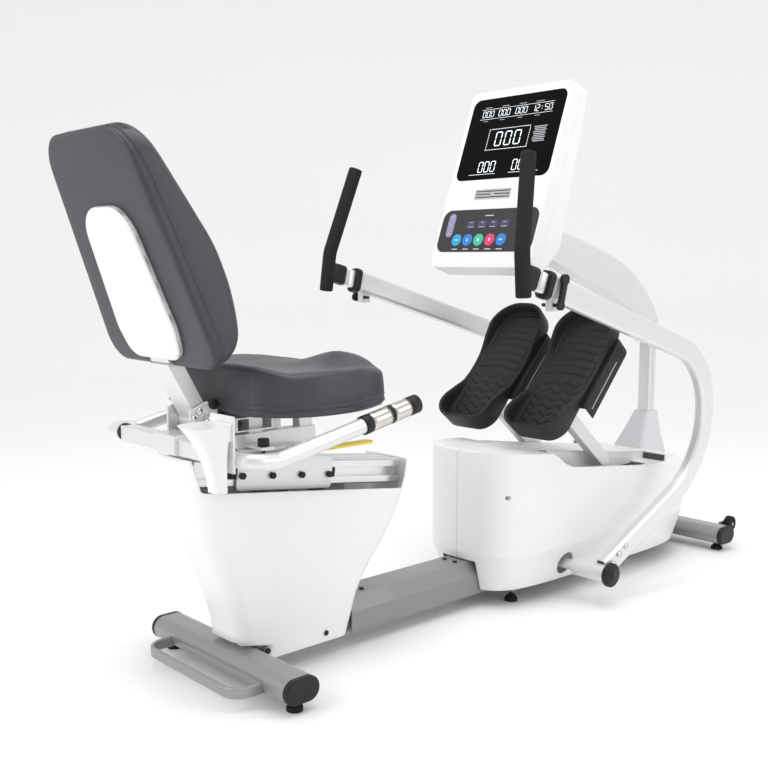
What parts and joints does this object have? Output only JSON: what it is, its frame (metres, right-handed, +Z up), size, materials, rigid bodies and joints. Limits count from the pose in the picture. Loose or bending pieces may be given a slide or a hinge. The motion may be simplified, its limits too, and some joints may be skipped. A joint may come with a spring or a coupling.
{
  "type": "recumbent stepper exerciser",
  "caption": "Seated stepper with a swivelling, sliding seat, arm levers coupled to foot levers, and a tilted display on a curved mast.",
  "frame": {"origin": "on the floor under the middle of the overall length and width", "axes": "+X from the seat towards the console, +Y to the left of the seated user, +Z up"},
  "size_m": [2.0734, 0.7128, 1.3367],
  "materials": {
    "silver_paint": "satin silver-grey paint",
    "white_shell": "white moulded plastic",
    "light_grey_plastic": "light grey moulded plastic",
    "black_plastic": "black moulded plastic",
    "extrusion": "brushed extrusion",
    "zinc_steel": "zinc-plated",
    "black_steel": "black oxide",
    "cast_wheel": "turned",
    "bronze": "sintered bush",
    "belt_rubber": "ribbed rubber",
    "foam_grip": "foam rubber",
    "foot_rubber": "moulded rubber",
    "black_vinyl": "stitched vinyl",
    "lens": "display window",
    "key_blue": "blue key",
    "key_green": "green key",
    "key_red": "red key",
    "key_grey": "grey rocker key",
    "lever_yellow": "yellow lever",
    "wheel_black": "moulded wheel"
  },
  "bodies": {
    "frame": {"main_frame": "silver_paint", "rear_stabilizer": "silver_paint", "front_stabilizer": "silver_paint", "rear_handle_loop": "silver_paint", "stabilizer_end_caps": "black_plastic", "levelling_feet": "foot_rubber", "seat_rail": "extrusion", "rear_hood": "white_shell", "beam_cover": "silver_paint", "front_shell_right": "white_shell", "front_shell_left": "white_shell", "deck_cover": "white_shell", "console_column": "silver_paint", "column_boot": "light_grey_plastic", "console_mast": "light_grey_plastic", "console_front_shell": "white_shell", "console_rear_shell": "light_grey_plastic", "display_lens": "lens", "control_panel": "light_grey_plastic", "shell_screws": "zinc_steel", "pivot_bearings": "bronze", "drive_belt": "belt_rubber", "brake_unit": "black_plastic"},
    "transport_wheel_right": {"transport_wheel_right": "wheel_black"},
    "transport_wheel_left": {"transport_wheel_left": "wheel_black"},
    "drive_pulley": {"drive_pulley": "black_plastic"},
    "flywheel": {"flywheel": "cast_wheel"},
    "arm_right": {"arm_right": "silver_paint"},
    "arm_left": {"arm_left": "silver_paint"},
    "handgrip_right": {"handgrip_right": "foam_grip"},
    "handgrip_left": {"handgrip_left": "foam_grip"},
    "cam_lever_right": {"cam_lever_right": "black_plastic"},
    "cam_lever_left": {"cam_lever_left": "black_plastic"},
    "tie_rod_right": {"tie_rod_right": "zinc_steel"},
    "tie_rod_left": {"tie_rod_left": "zinc_steel"},
    "pedal_right": {"pedal_lever_right": "silver_paint", "footplate_right": "black_plastic"},
    "pedal_left": {"pedal_lever_left": "silver_paint", "footplate_left": "black_plastic"},
    "carriage": {"seat_carriage": "silver_paint", "carriage_bolts": "black_steel"},
    "adjust_lever": {"adjust_lever": "lever_yellow"},
    "seat": {"seat_frame": "silver_paint", "seat_cushion": "black_vinyl", "bottle_holder": "white_shell"},
    "backrest": {"backrest_post": "silver_paint", "backrest_panel": "white_shell", "backrest_cushion": "black_vinyl"},
    "seat_handle_right": {"seat_handle_right": "silver_paint", "pulse_grip_right": "black_plastic"},
    "seat_handle_left": {"seat_handle_left": "silver_paint", "pulse_grip_left": "black_plastic"},
    "swivel_knob": {"swivel_knob": "black_plastic"},
    "quick_start_key": {"quick_start_key": "key_blue"},
    "enter_key": {"enter_key": "key_blue"},
    "start_key": {"start_key": "key_green"},
    "stop_key": {"stop_key": "key_red"},
    "clear_key": {"clear_key": "key_blue"},
    "rocker_key_left": {"rocker_key_left": "key_grey"},
    "rocker_key_right": {"rocker_key_right": "key_grey"}
  },
  "joints": [
    {"name": "transport_wheel_right_spin", "type": "hinge", "parent": "frame", "child": "transport_wheel_right", "pos_m": [1.0127, -0.192, 0.068], "axis": [0, 1, 0], "continuous": true},
    {"name": "transport_wheel_left_spin", "type": "hinge", "parent": "frame", "child": "transport_wheel_left", "pos_m": [1.0127, 0.192, 0.068], "axis": [0, 1, 0], "continuous": true},
    {"name": "flywheel_spin", "type": "hinge", "parent": "frame", "child": "flywheel", "pos_m": [0.6417, 0, 0.205], "axis": [0, 1, 0], "continuous": true},
    {"name": "drive_pulley_spin", "type": "hinge", "parent": "frame", "child": "drive_pulley", "pos_m": [0.1117, 0.05, 0.15], "axis": [0, 1, 0], "continuous": true},
    {"name": "arm_right_swing", "type": "hinge", "parent": "frame", "child": "arm_right", "pos_m": [0.2397, -0.236, 0.088], "axis": [0, 1, 0], "range_deg": [-8, 8]},
    {"name": "arm_left_swing", "type": "hinge", "parent": "frame", "child": "arm_left", "pos_m": [0.2397, 0.236, 0.088], "axis": [0, 1, 0], "range_deg": [-8.2, 8.2]},
    {"name": "pedal_right_swing", "type": "hinge", "parent": "frame", "child": "pedal_right", "pos_m": [0.1117, -0.119, 0.15], "axis": [0, 1, 0], "range_deg": [-13, 13]},
    {"name": "pedal_left_swing", "type": "hinge", "parent": "frame", "child": "pedal_left", "pos_m": [0.1117, 0.119, 0.15], "axis": [0, 1, 0], "range_deg": [-13, 13]},
    {"name": "tie_rod_right_turn", "type": "hinge", "parent": "arm_right", "child": "tie_rod_right", "pos_m": [0.2397, -0.091, 0.152], "axis": [0, 1, 0], "range_deg": [-9, 9]},
    {"name": "tie_rod_left_turn", "type": "hinge", "parent": "arm_left", "child": "tie_rod_left", "pos_m": [0.2397, 0.091, 0.152], "axis": [0, 1, 0], "range_deg": [-9, 9]},
    {"name": "handgrip_right_slide", "type": "slide", "parent": "arm_right", "child": "handgrip_right", "axis": [-0.9579, -0.025, 0.2859], "range_m": [-0.015, 0.06]},
    {"name": "handgrip_left_slide", "type": "slide", "parent": "arm_left", "child": "handgrip_left", "axis": [-0.9579, 0.025, 0.2859], "range_m": [-0.015, 0.06]},
    {"name": "cam_lever_right_turn", "type": "hinge", "parent": "arm_right", "child": "cam_lever_right", "pos_m": [-0.0623, -0.327, 0.788], "axis": [0, 1, 0], "range_deg": [0, 100]},
    {"name": "cam_lever_left_turn", "type": "hinge", "parent": "arm_left", "child": "cam_lever_left", "pos_m": [-0.0623, 0.327, 0.788], "axis": [0, 1, 0], "range_deg": [0, 100]},
    {"name": "seat_slide", "type": "slide", "parent": "frame", "child": "carriage", "axis": [0.9925, 0, -0.1219], "range_m": [-0.088, 0.2]},
    {"name": "adjust_lever_lift", "type": "hinge", "parent": "carriage", "child": "adjust_lever", "pos_m": [-0.5683, -0.097, 0.488], "axis": [0, -1, 0], "range_deg": [0, 12], "stiffness_Nm_per_rad": 1, "springref_deg": -5.73},
    {"name": "seat_swivel", "type": "hinge", "parent": "carriage", "child": "seat", "pos_m": [-0.6783, 0, 0.5], "axis": [0, 0, 1], "range_deg": [0, 90]},
    {"name": "backrest_recline", "type": "hinge", "parent": "seat", "child": "backrest", "pos_m": [-0.7963, 0, 0.566], "axis": [0, 1, 0], "range_deg": [-12, 8]},
    {"name": "seat_handle_right_flip", "type": "hinge", "parent": "seat", "child": "seat_handle_right", "pos_m": [-0.8483, -0.237, 0.522], "axis": [0, -1, 0], "range_deg": [0, 75]},
    {"name": "seat_handle_left_flip", "type": "hinge", "parent": "seat", "child": "seat_handle_left", "pos_m": [-0.8483, 0.237, 0.522], "axis": [0, -1, 0], "range_deg": [0, 75]},
    {"name": "swivel_knob_pull", "type": "slide", "parent": "seat", "child": "swivel_knob", "axis": [0, 0, 1], "range_m": [0, 0.008], "stiffness_N_per_m": 400, "springref_m": -0.002},
    {"name": "quick_start_key_press", "type": "slide", "parent": "frame", "child": "quick_start_key", "axis": [0.9397, 0, -0.342], "range_m": [0, 0.001], "stiffness_N_per_m": 500, "springref_m": -0.0004},
    {"name": "enter_key_press", "type": "slide", "parent": "frame", "child": "enter_key", "axis": [0.9397, 0, -0.342], "range_m": [0, 0.001], "stiffness_N_per_m": 500, "springref_m": -0.0004},
    {"name": "start_key_press", "type": "slide", "parent": "frame", "child": "start_key", "axis": [0.9397, 0, -0.342], "range_m": [0, 0.001], "stiffness_N_per_m": 500, "springref_m": -0.0004},
    {"name": "stop_key_press", "type": "slide", "parent": "frame", "child": "stop_key", "axis": [0.9397, 0, -0.342], "range_m": [0, 0.001], "stiffness_N_per_m": 500, "springref_m": -0.0004},
    {"name": "clear_key_press", "type": "slide", "parent": "frame", "child": "clear_key", "axis": [0.9397, 0, -0.342], "range_m": [0, 0.001], "stiffness_N_per_m": 500, "springref_m": -0.0004},
    {"name": "rocker_key_left_tilt", "type": "hinge", "parent": "frame", "child": "rocker_key_left", "pos_m": [0.08279, 0.128, 0.97797], "axis": [0, 1, 0], "range_deg": [-2, 2], "stiffness_Nm_per_rad": 0.4},
    {"name": "rocker_key_right_tilt", "type": "hinge", "parent": "frame", "child": "rocker_key_right", "pos_m": [0.08279, -0.128, 0.97797], "axis": [0, 1, 0], "range_deg": [-2, 2], "stiffness_Nm_per_rad": 0.4}
  ],
  "couplings": [
    {"joint": "drive_pulley_spin", "follows": "flywheel_spin", "ratio": 0.4},
    {"joint": "arm_left_swing", "follows": "arm_right_swing", "ratio": -1},
    {"joint": "pedal_right_swing", "follows": "arm_right_swing", "ratio": -1.6},
    {"joint": "pedal_left_swing", "follows": "arm_right_swing", "ratio": 1.6},
    {"joint": "tie_rod_right_turn", "follows": "arm_right_swing", "ratio": -1},
    {"joint": "tie_rod_left_turn", "follows": "arm_right_swing", "ratio": 1}
  ]
}
